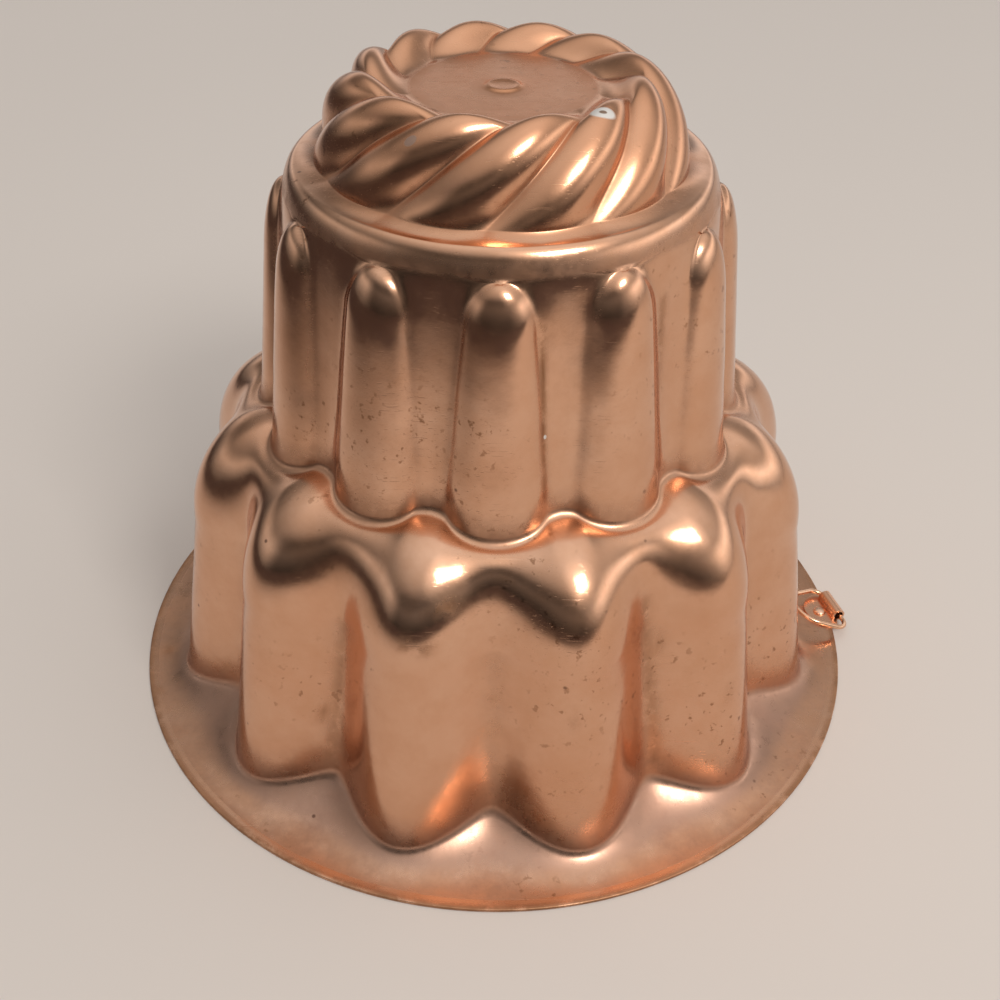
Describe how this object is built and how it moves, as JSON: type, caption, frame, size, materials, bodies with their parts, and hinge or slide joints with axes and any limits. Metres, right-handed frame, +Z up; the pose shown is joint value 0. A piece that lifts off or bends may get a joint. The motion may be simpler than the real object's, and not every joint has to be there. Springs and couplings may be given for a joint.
{
  "type": "jelly mould",
  "caption": "Tall two-tier fluted metal mould with a swirled crown and a flat rim, with a small wire hanging ring on a riveted tab.",
  "frame": {"origin": "on the mould's axis, in the plane of the flat underside of the rim that it stands on", "axes": "+Z up along the mould's axis towards the crown; the hanging tab is near +X, and the picture looks along +Y"},
  "size_m": [0.1816, 0.178, 0.1469],
  "materials": {
    "copper_sheet": "polished sheet with a copper-coloured lacquer, worn and spotted",
    "copper_tab": "copper-coloured strip, dulled",
    "rivet_metal": "dull, lightly worn head",
    "copper_wire": "copper-coloured wire, satin"
  },
  "bodies": {
    "body": {"mould_body": "copper_sheet", "hanging_tab": "copper_tab", "rivet": "rivet_metal"},
    "ring": {"hanging_ring": "copper_wire"}
  },
  "joints": [
    {"name": "ring_hinge", "type": "hinge", "parent": "body", "child": "ring", "pos_m": [0.08984, 0.00534, 0.00245], "axis": [-0.2756, 0.9613, 0], "range_deg": [-16, 225]}
  ]
}
